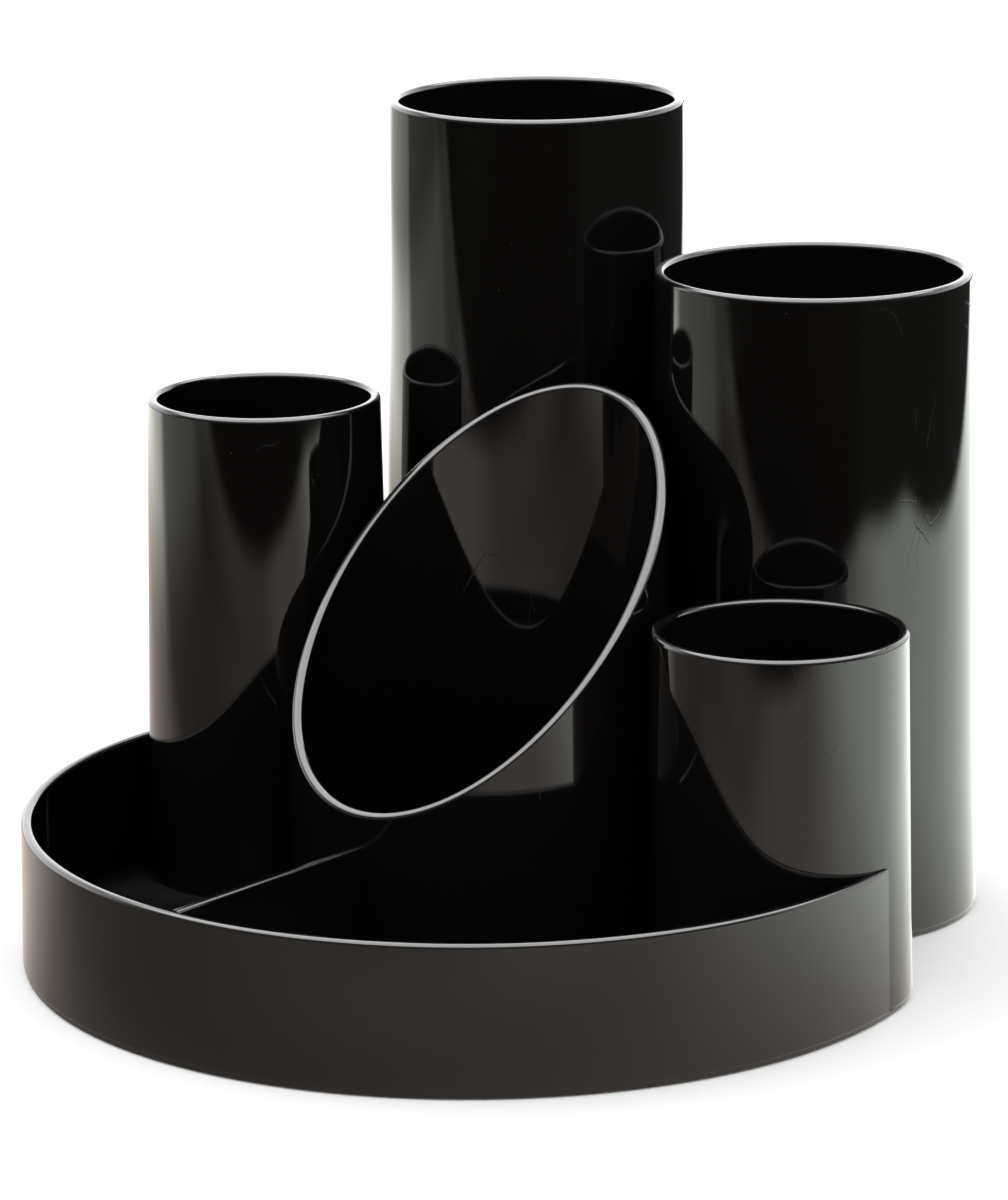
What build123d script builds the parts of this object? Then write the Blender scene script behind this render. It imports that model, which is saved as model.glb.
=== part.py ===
"""Desk tidy: five open tubes of different heights on one base plate, with a low two-part tray in front.

The origin is on the desk, on the axis of the middle tube. +Z is up and -Y is the front, where the
middle tube's slanted rim is lowest and the tray's divider runs out to the wall. Lengths are in mm.
"""

from build123d import *
from math import acos, atan2, cos, degrees, radians, sin, sqrt, tan
import os

# ---- driving dimensions ----

# every wall leans in by this much from foot to rim
draft = 1.0
wall = 1.9
rim_round = 0.8
# the rim's round takes no more than this share of the wall
rim_round_share = 0.45
foot_round = 0.4

# tubes: outer radius at the rim, and rim height above the desk
slant_tube_radius = 32.4
slant_tube_height = 64.6
slant_angle = 45.0
tall_tube_radius = 26.5
tall_tube_height = 140.0
wide_tube_radius = 27.8
wide_tube_height = 114.7
left_tube_radius = 20.8
left_tube_height = 90.0
short_tube_radius = 21.65
short_tube_height = 63.8

# layout round the middle tube: one bearing, and the gaps at the foot between neighbours
tall_tube_bearing = 120.2
touching_gap = 0.1
wide_tube_standoff = 1.25
left_tube_standoff = 1.2
tall_to_left_gap = 1.55
wide_to_short_gap = 1.45

# tray
tray_height = 26.1
tray_forward = 11.1
wall_tip = 0.35
divider_thickness = 1.5
divider_round = 0.6

# base plate: a thin flange under the walls, with the floors raised inside them
pad_proud = 0.3
flange_thickness = 0.7
flange_recess = 0.3
floor_rise = 1.5
floor_clearance = 0.15

# foot pads
pad_radius = 6.0
pad_recess_depth = 0.7
pad_clearance = 0.15
pad_edge_round = 0.15
front_pad_bearings = {"foot_pad_front_left": 228.0, "foot_pad_front_right": 312.0}
front_pad_inset = 13.0

# ---- what follows from them ----

plate_z = pad_proud
foot_z = plate_z + flange_thickness
lean = tan(radians(draft))
rim_fillet = min(rim_round, rim_round_share * wall)


def polar(distance, bearing):
    """A point at a distance from the middle tube's axis, with its bearing in degrees from +X."""
    return Vector(distance * cos(radians(bearing)), distance * sin(radians(bearing)))


def foot_radius(rim_radius, height):
    """The outer radius at the foot of a leaning wall."""
    return rim_radius + (height - foot_z) * lean


def corner_angle(side_a, side_b, opposite):
    """The angle in degrees between two sides of a triangle."""
    return degrees(acos((side_a**2 + side_b**2 - opposite**2) / (2 * side_a * side_b)))


slant_foot = foot_radius(slant_tube_radius, slant_tube_height)
tall_foot = foot_radius(tall_tube_radius, tall_tube_height)
wide_foot = foot_radius(wide_tube_radius, wide_tube_height)
left_foot = foot_radius(left_tube_radius, left_tube_height)
short_foot = foot_radius(short_tube_radius, short_tube_height)

# how far each tube stands from the middle one
tall_distance = slant_foot + tall_foot + touching_gap
wide_distance = slant_foot + wide_foot + wide_tube_standoff
left_distance = slant_foot + left_foot + left_tube_standoff
short_distance = slant_foot + short_foot + touching_gap

# the bearings are chained, neighbour to neighbour, from the tall tube
wide_bearing = tall_tube_bearing - corner_angle(
    tall_distance, wide_distance, tall_foot + wide_foot + touching_gap
)
short_bearing = wide_bearing - corner_angle(
    wide_distance, short_distance, wide_foot + short_foot + wide_to_short_gap
)
left_bearing = tall_tube_bearing + corner_angle(
    tall_distance, left_distance, tall_foot + left_foot + tall_to_left_gap
)

middle = Vector(0, 0)
tall_centre = polar(tall_distance, tall_tube_bearing)
wide_centre = polar(wide_distance, wide_bearing)
left_centre = polar(left_distance, left_bearing)
short_centre = polar(short_distance, short_bearing)

# the tray wall's circle touches the left and short tubes from outside, flush with both
span = short_centre - left_centre
half_span = span.length / 2
along_span = span.normalized()
towards_front = Vector(along_span.Y, -along_span.X)
radius_share = (short_foot - left_foot) / 2
side_shift = radius_share * sqrt(1 + tray_forward**2 / (half_span**2 - radius_share**2))
tray_centre = (
    (left_centre + short_centre) / 2 + along_span * side_shift + towards_front * tray_forward
)
tray_foot = (short_centre - tray_centre).length + short_foot


def wall_end_bearing(tube_centre, tube_foot, side):
    """Where the tray wall has thinned to its tip against a tube, as a bearing from the tray's centre."""
    to_tube = tube_centre - tray_centre
    tip_radius = tray_foot - wall_tip - touching_gap
    turn = corner_angle(to_tube.length, tip_radius, tube_foot)
    return degrees(atan2(to_tube.Y, to_tube.X)) + side * turn


wall_start = wall_end_bearing(left_centre, left_foot, 1)
wall_arc = wall_end_bearing(short_centre, short_foot, -1) + 360 - wall_start


# ---- shared shapes ----


def profile_plane(centre, bearing=0.0):
    """An upright plane through a vertical axis: x is the distance from the axis, y is the height."""
    outward = polar(1, bearing)
    return Plane(origin=centre, x_dir=outward, z_dir=Vector(outward.Y, -outward.X))


def upright(centre):
    """The vertical axis through a point."""
    return Axis(centre, (0, 0, 1))


def wall_profile(plane, rim_radius, height):
    """The section of a leaning wall, with a flat rim and small rounds at its edges."""
    foot = foot_radius(rim_radius, height)
    with BuildSketch(plane) as section:
        with BuildLine():
            Polyline(
                (foot - wall, foot_z),
                (foot, foot_z),
                (rim_radius, height),
                (rim_radius - wall, height),
                close=True,
            )
        make_face()
        fillet(section.vertices().group_by(Axis.Y)[-1], radius=rim_fillet)
        fillet(section.vertices().group_by(Axis.Y)[0].sort_by(Axis.X)[-1], radius=foot_round)
    return section.sketch


def solid_cone(centre, foot, grow, height):
    """A solid with a leaning wall's outline, grown by a gap, with its seam turned to the back."""
    cone = Cone(
        foot + grow,
        foot + grow - (height - foot_z) * lean,
        height - foot_z,
        align=(Align.CENTER, Align.CENTER, Align.MIN),
        mode=Mode.PRIVATE,
    )
    return Pos(centre.X, centre.Y, foot_z) * Rot(Z=90) * cone


def save(part, name):
    """Labels a finished piece and writes it."""
    part.label = name
    export_step(part, f"parts/{name}.step")


# ---- pieces ----


def upright_tube(centre, rim_radius, height):
    """A round tube, open at both ends, with a level rim."""
    with BuildPart() as tube:
        revolve(wall_profile(profile_plane(centre), rim_radius, height), axis=upright(centre))
    return tube.part


def slant_cut_tube():
    """The middle tube, whose rim is cut on a slant that is lowest at the front."""
    high_side = slant_tube_height + slant_foot * tan(radians(slant_angle))
    rim_at_high_side = slant_tube_radius - (high_side - slant_tube_height) * lean
    cut = Plane(
        origin=(0, 0, slant_tube_height),
        z_dir=(0, -sin(radians(slant_angle)), cos(radians(slant_angle))),
    )
    with BuildPart() as tube:
        section = wall_profile(profile_plane(middle), rim_at_high_side, high_side)
        revolve(section, axis=upright(middle))
        split(bisect_by=cut, keep=Keep.BOTTOM)
        slanted_face = tube.faces().filter_by(Axis(cut.origin, cut.z_dir))[0]
        fillet(slanted_face.edges(), radius=rim_fillet)
    return tube.part


def tray_wall():
    """The low curved wall, thinning at each end to a tip against the tube it meets."""
    rim_radius = tray_foot - (tray_height - foot_z) * lean
    with BuildPart() as curved_wall:
        section = wall_profile(profile_plane(tray_centre, wall_start), rim_radius, tray_height)
        revolve(section, axis=upright(tray_centre), revolution_arc=wall_arc)
        add(solid_cone(left_centre, left_foot, touching_gap, left_tube_height), mode=Mode.SUBTRACT)
        add(solid_cone(short_centre, short_foot, touching_gap, short_tube_height), mode=Mode.SUBTRACT)
    return curved_wall.part


def tray_divider():
    """The upright plate from the middle tube to the tray wall."""
    with BuildPart() as plate:
        with BuildSketch(Plane.XY.offset(foot_z)):
            Rectangle(divider_thickness, 2 * tray_foot, align=(Align.CENTER, Align.MAX))
        extrude(amount=tray_height - foot_z)
        top_edges = plate.faces().sort_by(Axis.Z)[-1].edges().filter_by(Axis.Y)
        fillet(top_edges, radius=divider_round)
        add(solid_cone(middle, slant_foot, touching_gap, slant_tube_height), mode=Mode.SUBTRACT)
        inside = solid_cone(tray_centre, tray_foot, -wall - touching_gap, tray_height)
        add(inside, mode=Mode.INTERSECT)
    return plate.part


# every tube's axis and its outer radius at the foot
tubes = {
    "slant_tube": (middle, slant_foot),
    "tall_tube": (tall_centre, tall_foot),
    "wide_tube": (wide_centre, wide_foot),
    "left_tube": (left_centre, left_foot),
    "short_tube": (short_centre, short_foot),
}

# the tubes with a level rim: axis, outer radius at the rim, and height
upright_tubes = {
    "tall_tube": (tall_centre, tall_tube_radius, tall_tube_height),
    "wide_tube": (wide_centre, wide_tube_radius, wide_tube_height),
    "left_tube": (left_centre, left_tube_radius, left_tube_height),
    "short_tube": (short_centre, short_tube_radius, short_tube_height),
}


def pad_places():
    """Where each foot pad goes: one under each tube, and two under the front of the tray."""
    places = {f"foot_pad_{name}": centre for name, (centre, _) in tubes.items()}
    for name, bearing in front_pad_bearings.items():
        places[name] = tray_centre + polar(tray_foot - wall - front_pad_inset, bearing)
    return places


def base_plate():
    """The flange that every wall stands on, with raised floors that fit inside the walls."""
    far_left = left_centre + (left_centre - tray_centre)
    far_right = short_centre + (short_centre - tray_centre)
    behind = Vector(0, 2 * tray_foot)
    far_ring = [far_right, far_right + behind, far_left + behind, far_left]
    with BuildPart() as plate:
        with BuildSketch(Plane.XY.offset(plate_z)):
            with Locations(tray_centre):
                Circle(tray_foot - flange_recess)
            Polygon(tray_centre, *far_ring, align=None, mode=Mode.SUBTRACT)
            Polygon(left_centre, tall_centre, wide_centre, short_centre, tray_centre, align=None)
            for centre, foot in tubes.values():
                with Locations(centre):
                    Circle(foot - flange_recess)
        extrude(amount=flange_thickness)

        # the tube floors
        with BuildSketch(Plane.XY.offset(foot_z)):
            for centre, foot in tubes.values():
                with Locations(centre):
                    Circle(foot - wall - floor_clearance)
        extrude(amount=floor_rise)

        # the tray floor, in two halves, with room left for the divider
        with BuildSketch(Plane.XY.offset(foot_z)):
            with Locations(tray_centre):
                Circle(tray_foot - wall - floor_clearance)
            Polygon(middle, short_centre, *far_ring, left_centre, align=None, mode=Mode.SUBTRACT)
            for centre, foot in tubes.values():
                with Locations(centre):
                    Circle(foot + floor_clearance, mode=Mode.SUBTRACT)
            Rectangle(
                divider_thickness + 2 * floor_clearance,
                2 * tray_foot,
                align=(Align.CENTER, Align.MAX),
                mode=Mode.SUBTRACT,
            )
        extrude(amount=floor_rise)

        # shallow seats for the foot pads
        with BuildSketch(Plane.XY.offset(plate_z)):
            with Locations(*pad_places().values()):
                Circle(pad_radius + pad_clearance)
        extrude(amount=pad_recess_depth, mode=Mode.SUBTRACT)
    return plate.part


def foot_pad(centre):
    """A soft round pad, seated in the plate and standing a little below it."""
    with BuildPart() as pad:
        with BuildSketch(Plane.XY):
            with Locations(centre):
                Circle(pad_radius)
        extrude(amount=pad_proud + pad_recess_depth)
        fillet(pad.edges().sort_by(Axis.Z)[0], radius=pad_edge_round)
    return pad.part


os.makedirs("parts", exist_ok=True)
save(base_plate(), "base_plate")
save(slant_cut_tube(), "slant_tube")
for tube_name, (tube_centre, tube_radius, tube_height) in upright_tubes.items():
    save(upright_tube(tube_centre, tube_radius, tube_height), tube_name)
save(tray_wall(), "tray_wall")
save(tray_divider(), "tray_divider")
for pad_name, pad_centre in pad_places().items():
    save(foot_pad(pad_centre), pad_name)
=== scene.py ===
from math import atan2, cos, pi, radians, sin, sqrt, tan

import bmesh
import bpy
from mathutils import Matrix, Vector


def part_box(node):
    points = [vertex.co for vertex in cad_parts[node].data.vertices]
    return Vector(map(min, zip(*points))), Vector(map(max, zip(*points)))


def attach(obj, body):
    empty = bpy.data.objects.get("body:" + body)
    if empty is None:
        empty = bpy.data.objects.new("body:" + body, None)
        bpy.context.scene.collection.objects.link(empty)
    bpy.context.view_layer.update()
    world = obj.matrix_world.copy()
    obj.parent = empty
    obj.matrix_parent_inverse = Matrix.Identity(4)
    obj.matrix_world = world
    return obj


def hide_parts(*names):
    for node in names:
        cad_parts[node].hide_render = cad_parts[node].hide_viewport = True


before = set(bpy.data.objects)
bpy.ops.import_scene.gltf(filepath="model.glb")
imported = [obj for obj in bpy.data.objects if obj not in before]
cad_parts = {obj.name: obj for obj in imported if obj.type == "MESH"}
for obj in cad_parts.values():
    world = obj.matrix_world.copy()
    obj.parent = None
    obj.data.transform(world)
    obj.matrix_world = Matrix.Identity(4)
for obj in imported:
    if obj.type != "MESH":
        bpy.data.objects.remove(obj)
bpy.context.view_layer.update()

bl_info = {
    "name": "Desk Tidy Looks",
    "version": (1, 0, 0),
    "blender": (4, 5, 0),
    "location": "3D View > Sidebar > Desk Tidy",
    "description": "Glossy moulded pieces, materials and a small studio for a desk tidy",
    "category": "Object",
}

MM = 0.001
# how near a wall's foot or rim a point is to count as part of it
FOOT_BAND = 0.1 * MM
RIM_BAND = 1.0 * MM
UPRIGHT_TUBES = ("tall_tube", "wide_tube", "left_tube", "short_tube")
FOOT_PADS = tuple(sorted(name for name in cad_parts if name.startswith("foot_pad")))

# an edge that turns more than the first angle stays creased, and more than the second is bevelled
CREASE = radians(50)
CORNER = radians(40)
BEVEL_STEPS = 2
# the shading follows the large faces as far as it can
LARGE_FACES_LEAD = 100
# a corner's round takes no more than this share of the wall
ROUND_SHARE = 0.42

# the stage, in metres
STAGE_RADIUS = 8.0
STAGE_STEPS = 128
MIRROR_LIFT = 0.05 * MM
KEY_TOWARDS = (-0.62, -0.25, 0.74)
KEY_DISTANCE = 1.3
KEY_SIZE = 0.8

# the mirrored desk: each edge faces a bearing from the origin, and fades in between two distances in mm;
# the desk is dark past the front, right and back, and the other edges dim, brighten or tint it
DESK_EDGES = {
    "front": (-54.0, 268.0, 324.0),
    "right": (-6.4, 380.0, 440.0),
    "left": (180.0, 560.0, 780.0),
    "back": (45.0, 395.0, 445.0),
    "behind": (68.0, -10.0, 190.0),
    "in_front": (-85.0, 25.0, 95.0),
    "aside": (-30.0, 0.0, 200.0),
    "beyond": (-54.0, 110.0, 200.0),
    "beside": (40.0, -60.0, 40.0),
    "far_left": (200.0, 230.0, 420.0),
}
SWEEP_BEARING = 120.0
# the dome over the desk keeps what is above this share of its radius
HORIZON = -0.001
WHITE = (1.0, 1.0, 1.0)
# how near and how far the camera sees, as shares of its distance
CLIP_NEAR = 0.1
CLIP_FAR = 20.0


# ---- settings ----


def length(name, default, description, **limits):
    """A size in metres, with its default given in millimetres."""
    return bpy.props.FloatProperty(
        name=name, description=description, default=default * MM, unit="LENGTH", precision=5, **limits
    )


def angle(name, default, description):
    """An angle in radians, with its default given in degrees."""
    return bpy.props.FloatProperty(
        name=name, description=description, default=radians(default), subtype="ANGLE"
    )


def colour(name, default, description):
    """A linear colour."""
    return bpy.props.FloatVectorProperty(
        name=name, description=description, default=default, size=3, min=0, max=1, subtype="COLOR"
    )


def amount(name, default, description, top=1.0):
    """A plain number from nothing to a top value."""
    return bpy.props.FloatProperty(name=name, description=description, default=default, min=0, max=top)


class TidySizes(bpy.types.PropertyGroup):
    """Sizes of the pieces"""

    rim_round: length("Rim round", 0.8, "Radius of the rounds along every rim")
    foot_round: length("Foot round", 0.4, "Radius of the round round the foot of every wall")
    wall_gap: length("Wall gap", 0.1, "Gap between a wall and the tube that it meets")
    wall_tip: length("Wall tip", 0.35, "Thickness of the tray wall where it ends against a tube")
    divider_round: length("Divider round", 0.6, "Radius of the rounds along the divider's top")
    plate_bevel: length("Plate bevel", 0.12, "Width of the softened edges of the base plate")
    slant: angle("Slant", 45.0, "Slope of the middle tube's rim")
    divider_steps: bpy.props.IntProperty(
        name="Divider steps", description="Faces along the divider", default=24, min=1
    )
    ring_steps: bpy.props.IntProperty(
        name="Ring steps", description="Faces round a whole tube", default=256, min=32
    )
    corner_steps: bpy.props.IntProperty(
        name="Corner steps", description="Faces across each rounded edge", default=5, min=1
    )


class TidyFinish(bpy.types.PropertyGroup):
    """Colours and roughness of the pieces"""

    plastic: colour("Plastic", (0.0020, 0.0018, 0.0016), "Colour of the glossy walls")
    plate: colour("Base plate", (0.0032, 0.0029, 0.0027), "Colour of the base plate")
    dust: colour("Dust", (0.32, 0.30, 0.27), "Colour of settled dust")
    gloss: amount("Wall roughness", 0.045, "Roughness of the clean walls")
    plate_gloss: amount("Plate roughness", 0.16, "Roughness of the clean base plate")
    smudged: amount("Smudges", 0.05, "Roughness that a smudge adds")
    scratched: amount("Hairlines", 0.18, "Roughness that a hairline mark adds")
    dusty: amount("Dustiness", 0.4, "Roughness that dust adds")
    handled: amount("Handling", 0.10, "Roughness added where a wall faces up or a floor is rubbed")
    index: bpy.props.FloatProperty(
        name="Refractive index", description="Index of the plastic", default=1.5, min=1, max=2
    )


class TidyStudio(bpy.types.PropertyGroup):
    """The camera, the lights and what the pieces mirror"""

    azimuth: angle("Azimuth", 39.875, "Where the camera stands round the object")
    elevation: angle("Elevation", 14.2, "How far the camera looks down")
    roll: angle("Roll", -0.466, "How far the camera is turned about its own axis")
    distance: length("Distance", 942.6, "From the camera to the middle tube's axis")
    aim_right: length("Aim right", 3.95, "How far right of the middle tube's axis the camera aims")
    aim_up: length("Aim up", 60.67, "How far above the desk the camera aims")
    lens: bpy.props.FloatProperty(
        name="Lens", description="Focal length", default=161.75, unit="CAMERA"
    )
    floor: colour("Floor", (0.93, 0.93, 0.93), "Colour of the floor")
    surround: amount("Surround", 1.4, "Strength of the white surround", top=10)
    key: amount("Key light", 1.2, "Brightness of the soft box that lights the desk", top=50)
    overhead: amount("Overhead", 8.0, "Brightness of the soft box that the rims mirror", top=50)
    sweep: amount("Sweep", 2.6, "Brightness of the sweep behind, in the rims", top=50)
    room: amount("Room", 0.35, "Brightness of the rest of the room, in the rims")
    dark: amount("Dark", 0.02, "Light left past the mirrored desk's edges")
    left_fade: amount("Left fade", 0.6, "Light lost past the mirrored desk's left edge")
    shade: amount("Shade", 0.68, "Light lost on the mirrored desk in front")
    half_shade: amount("Half shade", 0.45, "Light lost on the mirrored desk beyond the shade")
    left_lift: amount("Left lift", 0.63, "Light gained on the mirrored desk's far left")
    left_cool: amount("Left cool", 0.35, "How much of the sweep's colour the far left takes")
    desk_glow: colour("Mirrored desk", (1.0, 0.86, 0.78), "Colour of the desk in the walls")
    sweep_glow: bpy.props.FloatVectorProperty(
        name="Mirrored sweep",
        description="Colour of the bright sweep behind, in the walls",
        default=(2.8, 3.02, 2.75),
        size=3,
        min=0,
        soft_max=4,
        subtype="COLOR",
    )


class TidySettings(bpy.types.PropertyGroup):
    """All the settings"""

    sizes: bpy.props.PointerProperty(type=TidySizes)
    finish: bpy.props.PointerProperty(type=TidyFinish)
    studio: bpy.props.PointerProperty(type=TidyStudio)


def settings():
    """The scene's desk tidy settings."""
    return bpy.context.scene.desk_tidy


# ---- shader expressions ----


class Field:
    """A value that varies over a surface. Arithmetic on it adds nodes."""

    def __init__(self, graph, socket):
        self.graph = graph
        self.socket = socket

    def combine(self, operation, first, second):
        """Adds a maths node, for vectors if either side is one."""
        vector = any(isinstance(side, Field) and side.socket.type == "VECTOR" for side in (first, second))
        kind = "VectorMath" if vector else "Math"
        return self.graph.node(kind, {"operation": operation}, {0: first, 1: second})

    def __add__(self, other):
        return self.combine("ADD", self, other)

    def __radd__(self, other):
        return self.combine("ADD", other, self)

    def __sub__(self, other):
        return self.combine("SUBTRACT", self, other)

    def __rsub__(self, other):
        return self.combine("SUBTRACT", other, self)

    def __mul__(self, other):
        return self.combine("MULTIPLY", self, other)

    def __rmul__(self, other):
        return self.combine("MULTIPLY", other, self)


class Graph:
    """The nodes of one material."""

    def __init__(self, name):
        self.material = bpy.data.materials.new(name)
        self.material.use_nodes = True
        self.tree = self.material.node_tree
        self.tree.nodes.clear()

    def node(self, kind, options=None, sockets=None, output=0):
        """Adds a node: its options first, then the values or links of its sockets. Gives one output."""
        made = self.tree.nodes.new("ShaderNode" + kind)
        for option, value in (options or {}).items():
            setattr(made, option, value)
        for name, value in (sockets or {}).items():
            if isinstance(value, Field):
                self.tree.links.new(value.socket, made.inputs[name])
            elif made.inputs[name].type == "VECTOR" and isinstance(value, (int, float)):
                made.inputs[name].default_value = (value, value, value)
            else:
                made.inputs[name].default_value = value
        return Field(self, made.outputs[output]) if made.outputs else None

    def place(self):
        """The place on the object, in millimetres."""
        return self.node("TexCoord", output="Object") * (1 / MM)

    def noise(self, place, size, detail=2.0, roughness=0.5):
        """Smooth noise from 0 to 1, whose lumps are about a size across."""
        return self.node(
            "TexNoise", sockets={"Vector": place, "Scale": 1 / size, "Detail": detail, "Roughness": roughness}
        )

    def cells(self, place, size, feature="F1"):
        """The distance to the nearest cell's middle or, as a feature, to its edge, in cells."""
        return self.node("TexVoronoi", {"feature": feature}, {"Vector": place, "Scale": 1 / size})

    def step(self, value, low, high):
        """0 below one value and 1 above another, smooth between."""
        return self.node(
            "MapRange",
            {"interpolation_type": "SMOOTHSTEP"},
            {"Value": value, "From Min": low, "From Max": high, "To Min": 0.0, "To Max": 1.0},
        )

    def blend(self, factor, first, second):
        """A mix of two colours."""
        return self.node("Mix", {"data_type": "RGBA"}, {0: factor, 6: first, 7: second}, output=2)

    def tinted(self, tint, level):
        """A colour made brighter or darker by a value."""
        return self.node("VectorMath", {"operation": "SCALE"}, {"Vector": tint, "Scale": level})

    def bump(self, height, depth, normal=None):
        """A surface normal from a height map that is depth millimetres high."""
        sockets = {"Height": height, "Distance": depth * MM, "Strength": 1.0}
        if normal is not None:
            sockets["Normal"] = normal
        return self.node("Bump", sockets=sockets)

    def surface(self, **sockets):
        """Ends the graph in the usual shader."""
        shader = self.node("BsdfPrincipled", sockets={n.replace("_", " "): v for n, v in sockets.items()})
        self.node("OutputMaterial", sockets={"Surface": shader})
        return self.material


def opaque(rgb):
    """A colour with its fourth part."""
    return (*rgb, 1.0)


def paler(rgb, times):
    """A colour made brighter or darker by a number, with its fourth part."""
    return opaque([times * part for part in rgb])


# ---- materials ----

# how far a pattern is stretched along x, y and z: below 1 draws it out
HAIRLINE_STRETCH = (1.0, 1.0, 0.35)
WAVE_STRETCH = (1.0, 1.0, 0.45)
DRAW_STRETCH = (1.0, 1.0, 0.012)
# how far a hairline wanders, in mm
HAIRLINE_WANDER = 3.0
# how thickly dust lies
DUST_ON_WALLS = 0.12
DUST_ON_TOPS = 0.5
DUST_ON_FLOOR = 0.6


def upward(graph):
    """1 on surfaces that face up, and 0 on walls and undersides."""
    normal = graph.node("NewGeometry", output="Normal")
    height = graph.node("SeparateXYZ", sockets={0: normal}, output="Z")
    return graph.step(height, low=0.35, high=0.9)


def gloss_plastic():
    """Black polished plastic: a little waviness from the mould, draw lines, hairline marks and dust."""
    finish = settings().finish
    graph = Graph("gloss_plastic")
    place = graph.place()
    top = upward(graph)

    smudge = graph.step(graph.noise(place, size=17.0, detail=3.0, roughness=0.6), low=0.52, high=0.74)
    haze = graph.noise(place, size=60.0)
    marks = place * HAIRLINE_STRETCH + HAIRLINE_WANDER * graph.noise(place, size=9.0)
    hairline = graph.cells(marks, size=11.0, feature="DISTANCE_TO_EDGE")
    marked = graph.step(graph.noise(place, size=13.0), low=0.55, high=0.62)
    scratch = (1.0 - graph.step(hairline, low=0.0, high=0.006)) * marked
    seldom = graph.step(graph.noise(place, size=2.6), low=0.60, high=0.66)
    settled = DUST_ON_WALLS + DUST_ON_TOPS * top
    dust = (1.0 - graph.step(graph.cells(place, size=1.7), low=0.03, high=0.09)) * seldom * settled

    tone = graph.blend(haze, opaque(finish.plastic), paler(finish.plastic, times=1.5))
    tint = graph.blend(dust, tone, opaque(finish.dust))
    roughness = finish.gloss + finish.smudged * smudge + finish.scratched * scratch
    roughness = roughness + finish.dusty * dust + finish.handled * top

    wave = graph.noise(place * WAVE_STRETCH, size=26.0, detail=1.0)
    drawn = graph.noise(place * DRAW_STRETCH, size=0.9)
    normal = graph.bump(wave, depth=0.05)
    normal = graph.bump(drawn, depth=0.0006, normal=normal)
    normal = graph.bump(dust - scratch, depth=0.004, normal=normal)
    return graph.surface(Base_Color=tint, Roughness=roughness, IOR=finish.index, Normal=normal)


def plate_plastic():
    """Black plastic with a finely grained floor, rubbed smooth in patches, with a little dust."""
    finish = settings().finish
    graph = Graph("plate_plastic")
    place = graph.place()
    top = upward(graph)
    grain = graph.noise(place, size=0.35, roughness=0.6)
    rubbed = graph.step(graph.noise(place, size=14.0, detail=3.0), low=0.42, high=0.66)
    seldom = graph.step(graph.noise(place, size=3.1), low=0.56, high=0.63)
    dust = (1.0 - graph.step(graph.cells(place, size=2.1), low=0.03, high=0.10)) * seldom * top
    tone = graph.blend(rubbed, opaque(finish.plate), paler(finish.plate, times=1.6))
    tint = graph.blend(DUST_ON_FLOOR * dust, tone, opaque(finish.dust))
    roughness = finish.plate_gloss + finish.handled * rubbed + finish.dusty * dust
    normal = graph.bump(grain, depth=0.004)
    normal = graph.bump(graph.noise(place, size=22.0), depth=0.03, normal=normal)
    return graph.surface(Base_Color=tint, Roughness=roughness, IOR=finish.index, Normal=normal)


def floor_paper():
    """Plain pale paper with the faintest tooth."""
    studio = settings().studio
    graph = Graph("floor_paper")
    place = graph.place()
    tone = graph.noise(place, size=180.0)
    tint = graph.blend(tone, paler(studio.floor, times=0.985), opaque(studio.floor))
    normal = graph.bump(graph.noise(place, size=0.8), depth=0.01)
    return graph.surface(Base_Color=tint, Roughness=0.9, Normal=normal, Specular_IOR_Level=0.0)


# ---- mesh helpers ----


def points_of(node):
    """The corners of a CAD node's mesh."""
    return [vertex.co.copy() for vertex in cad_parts[node].data.vertices]


class Wall:
    """A leaning round wall, read from its CAD node: its axis, foot, top, outer radius and thickness."""

    def __init__(self, node):
        low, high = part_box(node)
        self.foot_radius = (high.x - low.x) / 2
        self.x = (low.x + high.x) / 2
        self.y = low.y + self.foot_radius
        self.foot = low.z
        self.top = high.z
        foot_ring = [point for point in points_of(node) if point.z < self.foot + FOOT_BAND]
        self.thickness = self.foot_radius - min(self.reach(point) for point in foot_ring)
        self.lean = 0.0

    def reach(self, point):
        """How far a point is from the wall's axis."""
        return sqrt((point.x - self.x) ** 2 + (point.y - self.y) ** 2)

    def radius(self, z):
        """The outer radius at a height."""
        return self.foot_radius - (z - self.foot) * self.lean

    def turned(self, bearing, line):
        """A section's (radius, height) points, turned to a bearing about the axis."""
        across, along = cos(bearing), sin(bearing)
        return [Vector((self.x + r * across, self.y + r * along, z)) for r, z in line]

    def far_side(self, x, y, bearing, z, gap):
        """How far a ray from a point goes before it leaves this wall's circle, or 0 if it misses."""
        across, along = cos(bearing), sin(bearing)
        ahead = (self.x - x) * across + (self.y - y) * along
        aside = (self.x - x) * along - (self.y - y) * across
        left = (self.radius(z) + gap) ** 2 - aside**2
        return ahead + sqrt(left) if left > 0 else 0.0

    def front(self, x, z, gap):
        """The front of the outer face at a given x and height, moved out by a gap."""
        return self.y - sqrt((self.radius(z) + gap) ** 2 - (x - self.x) ** 2)


def leaning(node):
    """A wall, with the lean that all the walls share, measured on the tallest."""
    tallest = Wall("tall_tube")
    rim = [point for point in points_of("tall_tube") if point.z > tallest.top - RIM_BAND]
    wall = Wall(node)
    rim_radius = max(tallest.reach(point) for point in rim)
    wall.lean = (tallest.foot_radius - rim_radius) / (tallest.top - tallest.foot)
    return wall


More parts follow.
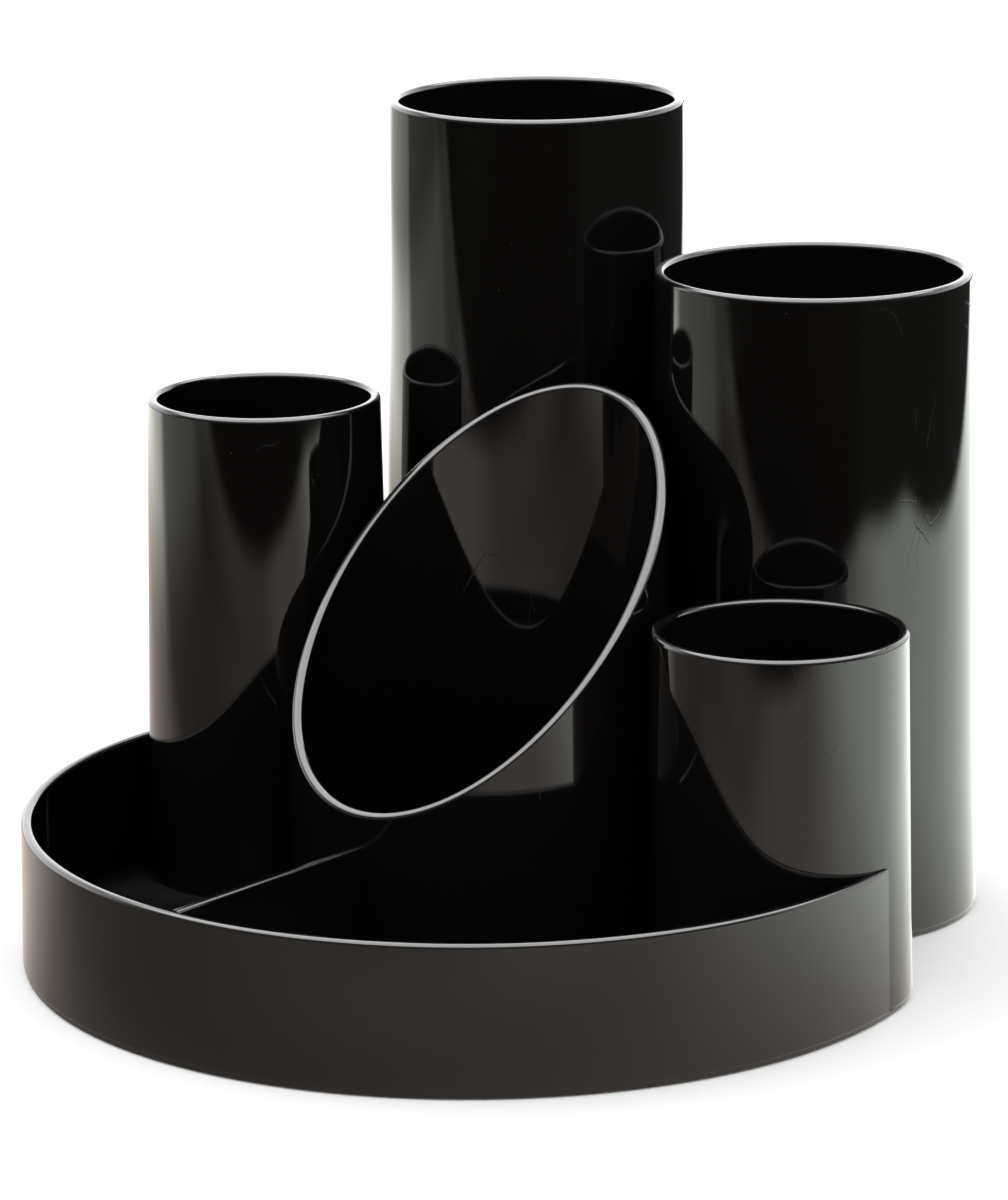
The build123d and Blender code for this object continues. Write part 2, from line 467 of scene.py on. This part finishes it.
def rounded(corners, steps):
    """A closed section from corners given as (x, z, round), with the rounds drawn as arcs."""
    line = []
    for index, (x, z, bend) in enumerate(corners):
        here = Vector((x, z))
        if bend == 0:
            line.append(here)
            continue
        before = (Vector(corners[index - 1][:2]) - here).normalized()
        after = (Vector(corners[(index + 1) % len(corners)][:2]) - here).normalized()
        half = before.angle(after) / 2
        middle = here + (before + after).normalized() * (bend / sin(half))
        first = here + before * (bend / tan(half)) - middle
        last = here + after * (bend / tan(half)) - middle
        turn = -first.angle_signed(last)
        for step in range(steps + 1):
            line.append(middle + Matrix.Rotation(turn * step / steps, 2) @ first)
    return line


def skin(name, rings, closed):
    """A mesh through rings of points, capped at both ends unless it closes on itself."""
    shape = bmesh.new()
    loops = [[shape.verts.new(point) for point in ring] for ring in rings]
    pairs = list(zip(loops, loops[1:]))
    if closed:
        pairs.append((loops[-1], loops[0]))
    for near, far in pairs:
        for index, vertex in enumerate(near):
            following = (index + 1) % len(near)
            shape.faces.new((vertex, near[following], far[following], far[index]))
    if not closed:
        shape.faces.new(reversed(loops[0]))
        shape.faces.new(loops[-1])
    bmesh.ops.recalc_face_normals(shape, faces=shape.faces[:])
    mesh = bpy.data.meshes.new(name)
    shape.to_mesh(mesh)
    shape.free()
    piece = bpy.data.objects.new(name, mesh)
    bpy.context.scene.collection.objects.link(piece)
    return piece


def shared(maker):
    """The material that a maker makes, made only once."""
    return bpy.data.materials.get(maker.__name__) or maker()


def stand_in(piece, node):
    """Smooths a glossy piece, gives it its material and puts it in the place of its CAD node."""
    piece.data.materials.append(shared(gloss_plastic))
    piece.data.shade_smooth()
    piece.data.set_sharp_from_angle(angle=CREASE)
    even = piece.modifiers.new("even_shading", "WEIGHTED_NORMAL")
    even.keep_sharp = True
    even.weight = LARGE_FACES_LEAD
    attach(piece, "root")
    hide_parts(node)


def soften(node, bevel):
    """Softens the edges of a CAD node that stays."""
    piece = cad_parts[node]
    soft = piece.modifiers.new("soft_edges", "BEVEL")
    soft.width = bevel
    soft.segments = BEVEL_STEPS
    soft.limit_method = "ANGLE"
    soft.angle_limit = CORNER
    soft.harden_normals = True
    return piece


# ---- pieces ----

# the slanted rim's faces have normals with about this much up and forwards in them
RIM_TILT_LOW = 0.69
RIM_TILT_HIGH = 0.72


class TidyOperator:
    """What every operator here shares"""

    bl_options = {"REGISTER", "UNDO"}


def bearings_round(count):
    """Evenly spaced bearings, once round."""
    return [2 * pi * index / count for index in range(count)]


class DESKTIDY_OT_upright_tubes(TidyOperator, bpy.types.Operator):
    """Make the four tubes that have level rims"""

    bl_idname = "desk_tidy.upright_tubes"
    bl_label = "Upright Tubes"

    def execute(self, context):
        sizes = settings().sizes
        for node in UPRIGHT_TUBES:
            wall = leaning(node)
            rim = wall.radius(wall.top)
            section = rounded(
                [
                    (wall.foot_radius - wall.thickness, wall.foot, 0),
                    (wall.foot_radius, wall.foot, sizes.foot_round),
                    (rim, wall.top, sizes.rim_round),
                    (rim - wall.thickness, wall.top, sizes.rim_round),
                ],
                sizes.corner_steps,
            )
            rings = [wall.turned(bearing, section) for bearing in bearings_round(sizes.ring_steps)]
            stand_in(skin(node + "_shell", rings, closed=True), node)
        return {"FINISHED"}


def slanted_rim(node, slope):
    """The height of a tube's slanted rim at the tube's axis, from the CAD node's tilted faces."""
    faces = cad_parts[node].data.polygons
    tilted = [
        face
        for face in faces
        if RIM_TILT_LOW < face.normal.z < RIM_TILT_HIGH and face.normal.y < -RIM_TILT_LOW
    ]
    area = sum(face.area for face in tilted)
    return sum((face.center.z - face.center.y * slope) * face.area for face in tilted) / area


class DESKTIDY_OT_slant_tube(TidyOperator, bpy.types.Operator):
    """Make the middle tube, whose rim is cut on a slant"""

    bl_idname = "desk_tidy.slant_tube"
    bl_label = "Slant Tube"

    def execute(self, context):
        sizes = settings().sizes
        node = "slant_tube"
        wall = leaning(node)
        slope = tan(sizes.slant)
        height = slanted_rim(node, slope)

        def rim_point(foot_radius, bearing):
            climb = slope * sin(bearing)
            radius = (foot_radius - (height - wall.foot) * wall.lean) / (1 + climb * wall.lean)
            return radius, height + radius * climb

        rings = []
        for bearing in bearings_round(sizes.ring_steps):
            section = rounded(
                [
                    (wall.foot_radius - wall.thickness, wall.foot, 0),
                    (wall.foot_radius, wall.foot, sizes.foot_round),
                    (*rim_point(wall.foot_radius, bearing), sizes.rim_round),
                    (*rim_point(wall.foot_radius - wall.thickness, bearing), sizes.rim_round),
                ],
                sizes.corner_steps,
            )
            rings.append(wall.turned(bearing, section))
        stand_in(skin(node + "_shell", rings, closed=True), node)
        return {"FINISHED"}


class DESKTIDY_OT_tray_wall(TidyOperator, bpy.types.Operator):
    """Make the low curved wall, which thins to a tip against the tubes at its two ends"""

    bl_idname = "desk_tidy.tray_wall"
    bl_label = "Tray Wall"

    def execute(self, context):
        sizes = settings().sizes
        node = "tray_wall"
        wall = leaning(node)
        neighbours = [leaning("left_tube"), leaning("short_tube")]
        # bearings are counted on from the back, so that the wall's run has no break in it
        turned = [atan2(p.y - wall.y, p.x - wall.x) for p in points_of(node)]
        counted = [bearing + 2 * pi if bearing < pi / 2 else bearing for bearing in turned]
        start, end = min(counted), max(counted)
        # the tray is over twice as wide as a tube, so a whole turn of it would have twice the faces
        count = int((end - start) / (2 * pi) * sizes.ring_steps * 2)

        def inner(bearing, z):
            reach = [tube.far_side(wall.x, wall.y, bearing, z, sizes.wall_gap) for tube in neighbours]
            return min(
                max(wall.radius(z) - wall.thickness, *reach), wall.radius(z) - sizes.wall_tip / 2
            )

        rings = []
        for step in range(count + 1):
            bearing = start + (end - start) * step / count
            rim, rim_inside = wall.radius(wall.top), inner(bearing, wall.top)
            bend = min(sizes.rim_round, ROUND_SHARE * (rim - rim_inside))
            section = rounded(
                [
                    (inner(bearing, wall.foot), wall.foot, 0),
                    (wall.foot_radius, wall.foot, min(sizes.foot_round, bend)),
                    (rim, wall.top, bend),
                    (rim_inside, wall.top, bend),
                ],
                sizes.corner_steps,
            )
            rings.append(wall.turned(bearing, section))
        stand_in(skin(node + "_shell", rings, closed=False), node)
        return {"FINISHED"}


class DESKTIDY_OT_tray_divider(TidyOperator, bpy.types.Operator):
    """Make the upright plate from the middle tube to the tray wall"""

    bl_idname = "desk_tidy.tray_divider"
    bl_label = "Tray Divider"

    def execute(self, context):
        sizes = settings().sizes
        node = "tray_divider"
        low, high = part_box(node)
        tube, tray = leaning("slant_tube"), leaning("tray_wall")
        section = rounded(
            [
                (low.x, low.z, 0),
                (high.x, low.z, 0),
                (high.x, high.z, sizes.divider_round),
                (low.x, high.z, sizes.divider_round),
            ],
            sizes.corner_steps,
        )
        rings = []
        for step in range(sizes.divider_steps + 1):
            share = step / sizes.divider_steps
            ring = []
            for x, z in section:
                near = tube.front(x, z, sizes.wall_gap)
                far = tray.front(x, z, -tray.thickness - sizes.wall_gap)
                ring.append(Vector((x, near + (far - near) * share, z)))
            rings.append(ring)
        stand_in(skin(node + "_plate", rings, closed=False), node)
        return {"FINISHED"}


class DESKTIDY_OT_base_plate(TidyOperator, bpy.types.Operator):
    """Give the base plate its soft edges and its material"""

    bl_idname = "desk_tidy.base_plate"
    bl_label = "Base Plate"

    def execute(self, context):
        plate = soften("base_plate", settings().sizes.plate_bevel)
        plate.data.materials.clear()
        plate.data.materials.append(shared(plate_plastic))
        return {"FINISHED"}


class DESKTIDY_OT_foot_pads(TidyOperator, bpy.types.Operator):
    """Soften the edges of the foot pads, which keep the frame's plain rubber"""

    bl_idname = "desk_tidy.foot_pads"
    bl_label = "Foot Pads"

    def execute(self, context):
        for node in FOOT_PADS:
            soften(node, settings().sizes.plate_bevel / 2)
        return {"FINISHED"}


# ---- studio ----


def disc(name, radius, steps):
    """A flat round sheet on the desk."""
    shape = bmesh.new()
    bmesh.ops.create_circle(shape, cap_ends=True, radius=radius, segments=steps)
    mesh = bpy.data.meshes.new(name)
    shape.to_mesh(mesh)
    shape.free()
    sheet = bpy.data.objects.new(name, mesh)
    bpy.context.scene.collection.objects.link(sheet)
    return sheet


def mirrored_only(sheet, material):
    """Makes a sheet show in reflections and nowhere else."""
    sheet.data.materials.append(material)
    sheet.visible_camera = False
    sheet.visible_diffuse = False
    sheet.visible_shadow = False
    sheet.visible_transmission = False


def glow(graph, tint):
    """Ends a graph in plain light of a colour."""
    shader = graph.node("Emission", sockets={"Color": tint, "Strength": 1.0})
    graph.node("OutputMaterial", sockets={"Surface": shader})
    graph.material.cycles.emission_sampling = "NONE"
    return graph.material


def along(graph, place, bearing, climb=0.0):
    """How far a place lies in a direction."""
    east, north = radians(bearing), radians(climb)
    towards = (cos(east) * cos(north), sin(east) * cos(north), sin(north))
    return graph.node("VectorMath", {"operation": "DOT_PRODUCT"}, {0: place, 1: towards}, output="Value")


def desk_glow():
    """What the walls mirror of the desk: a pale sheet, shaded in front of the tidy, in a dark room."""
    studio = settings().studio
    graph = Graph("desk_glow")
    place = graph.place()
    past = {
        name: graph.step(along(graph, place, bearing), start, end)
        for name, (bearing, start, end) in DESK_EDGES.items()
    }
    lit = (1.0 - past["front"]) * (1.0 - past["right"]) * (1.0 - past["back"])
    lit = lit * (1.0 - studio.left_fade * past["left"])
    shaded = past["in_front"] * (1.0 - past["aside"])
    half_shaded = past["beyond"] * (1.0 - past["beside"])
    level = studio.dark + (1.0 - studio.dark) * lit
    level = level * (1.0 - studio.shade * shaded) * (1.0 - studio.half_shade * half_shaded)
    level = level * (1.0 + studio.left_lift * past["far_left"])
    cool = past["behind"] + studio.left_cool * past["far_left"]
    tint = graph.blend(cool, opaque(studio.desk_glow), opaque(studio.sweep_glow))
    return glow(graph, graph.tinted(tint, level))


def room_glow():
    """What the rims mirror of the room: a bright sweep behind, a soft box overhead and a dim front."""
    studio = settings().studio
    graph = Graph("room_glow")
    direction = graph.node("TexCoord", output="Object")
    height = along(graph, direction, bearing=0.0, climb=90.0)
    behind = graph.step(along(graph, direction, SWEEP_BEARING), low=-0.2, high=0.35)
    sweep = behind * (1.0 - graph.step(height, low=0.45, high=0.65))
    overhead = graph.step(height, low=0.58, high=0.74)
    level = studio.room + studio.sweep * sweep + studio.overhead * overhead
    return glow(graph, graph.tinted(WHITE, level))


def dome(name, radius, steps):
    """A round ceiling over the desk: a unit dome that its scale makes large."""
    shape = bmesh.new()
    bmesh.ops.create_uvsphere(shape, u_segments=steps * 2, v_segments=steps, radius=1.0)
    below = [vertex for vertex in shape.verts if vertex.co.z < HORIZON]
    bmesh.ops.delete(shape, geom=below, context="VERTS")
    mesh = bpy.data.meshes.new(name)
    shape.to_mesh(mesh)
    shape.free()
    ceiling = bpy.data.objects.new(name, mesh)
    bpy.context.scene.collection.objects.link(ceiling)
    ceiling.scale = (radius, radius, radius)
    return ceiling


def soft_light(name, towards, distance, size, brightness):
    """A soft box that lights the desk from a direction, and is neither seen nor mirrored."""
    light = bpy.data.lights.new(name, "AREA")
    light.shape = "RECTANGLE"
    light.size = size
    light.size_y = size
    light.energy = brightness * pi * size * size
    box = bpy.data.objects.new(name, light)
    bpy.context.scene.collection.objects.link(box)
    back = Vector(towards).normalized()
    box.location = back * distance
    box.rotation_euler = back.to_track_quat("Z", "Y").to_euler()
    box.visible_camera = False
    box.visible_glossy = False


def white_surround(strength):
    """A plain white world."""
    world = bpy.data.worlds.new("white_surround")
    world.use_nodes = True
    background = world.node_tree.nodes["Background"]
    background.inputs["Color"].default_value = opaque(WHITE)
    background.inputs["Strength"].default_value = strength
    bpy.context.scene.world = world


def place_camera(studio):
    """The camera, looking down at the middle tube from the front right."""
    tube = Wall("slant_tube")
    turn, tilt = studio.azimuth, studio.elevation
    back = Vector((sin(turn) * cos(tilt), -cos(turn) * cos(tilt), sin(tilt)))
    right = Vector((cos(turn), sin(turn), 0))
    up = back.cross(right)
    place = Vector((tube.x, tube.y, 0)) + back * studio.distance
    place += right * studio.aim_right + up * studio.aim_up
    data = bpy.data.cameras.new("camera")
    data.lens = studio.lens
    data.clip_start = studio.distance * CLIP_NEAR
    data.clip_end = studio.distance * CLIP_FAR
    camera = bpy.data.objects.new("camera", data)
    bpy.context.scene.collection.objects.link(camera)
    axes = Matrix((right, up, back)).transposed()
    camera.matrix_world = Matrix.Translation(place) @ axes.to_4x4() @ Matrix.Rotation(studio.roll, 4, "Z")
    bpy.context.scene.camera = camera


class DESKTIDY_OT_stage(TidyOperator, bpy.types.Operator):
    """Make the floor, the lights and the camera"""

    bl_idname = "desk_tidy.stage"
    bl_label = "Stage"

    def execute(self, context):
        studio = settings().studio
        floor = disc("floor", STAGE_RADIUS, STAGE_STEPS)
        floor.data.materials.append(shared(floor_paper))
        mirror = disc("desk_mirrored", STAGE_RADIUS, STAGE_STEPS)
        mirror.location.z = MIRROR_LIFT
        mirrored_only(mirror, shared(desk_glow))
        mirrored_only(dome("room_mirrored", STAGE_RADIUS, STAGE_STEPS // 2), shared(room_glow))
        soft_light("key", KEY_TOWARDS, KEY_DISTANCE, KEY_SIZE, studio.key)
        white_surround(studio.surround)
        place_camera(studio)
        context.scene.view_settings.view_transform = "Standard"
        return {"FINISHED"}


# ---- panel and registration ----

OPERATORS = (
    DESKTIDY_OT_upright_tubes,
    DESKTIDY_OT_slant_tube,
    DESKTIDY_OT_tray_wall,
    DESKTIDY_OT_tray_divider,
    DESKTIDY_OT_base_plate,
    DESKTIDY_OT_foot_pads,
    DESKTIDY_OT_stage,
)


class DESKTIDY_PT_panel(bpy.types.Panel):
    """The desk tidy's pieces and settings"""

    bl_idname = "DESKTIDY_PT_panel"
    bl_label = "Desk Tidy"
    bl_space_type = "VIEW_3D"
    bl_region_type = "UI"
    bl_category = "Desk Tidy"

    def draw(self, context):
        for operator in OPERATORS:
            self.layout.operator(operator.bl_idname)
        for group in (settings().sizes, settings().finish, settings().studio):
            column = self.layout.column()
            for name in group.__annotations__:
                column.prop(group, name)


CLASSES = (TidySizes, TidyFinish, TidyStudio, TidySettings, *OPERATORS, DESKTIDY_PT_panel)


def register():
    """Adds the classes and the scene's settings to Blender."""
    for made in CLASSES:
        bpy.utils.register_class(made)
    bpy.types.Scene.desk_tidy = bpy.props.PointerProperty(type=TidySettings)


def unregister():
    """Takes them away again."""
    del bpy.types.Scene.desk_tidy
    for made in reversed(CLASSES):
        bpy.utils.unregister_class(made)


def main():
    """Makes every piece and the stage."""
    register()
    bpy.ops.desk_tidy.upright_tubes()
    bpy.ops.desk_tidy.slant_tube()
    bpy.ops.desk_tidy.tray_wall()
    bpy.ops.desk_tidy.tray_divider()
    bpy.ops.desk_tidy.base_plate()
    bpy.ops.desk_tidy.foot_pads()
    bpy.ops.desk_tidy.stage()


if __name__ == "__main__":
    main()
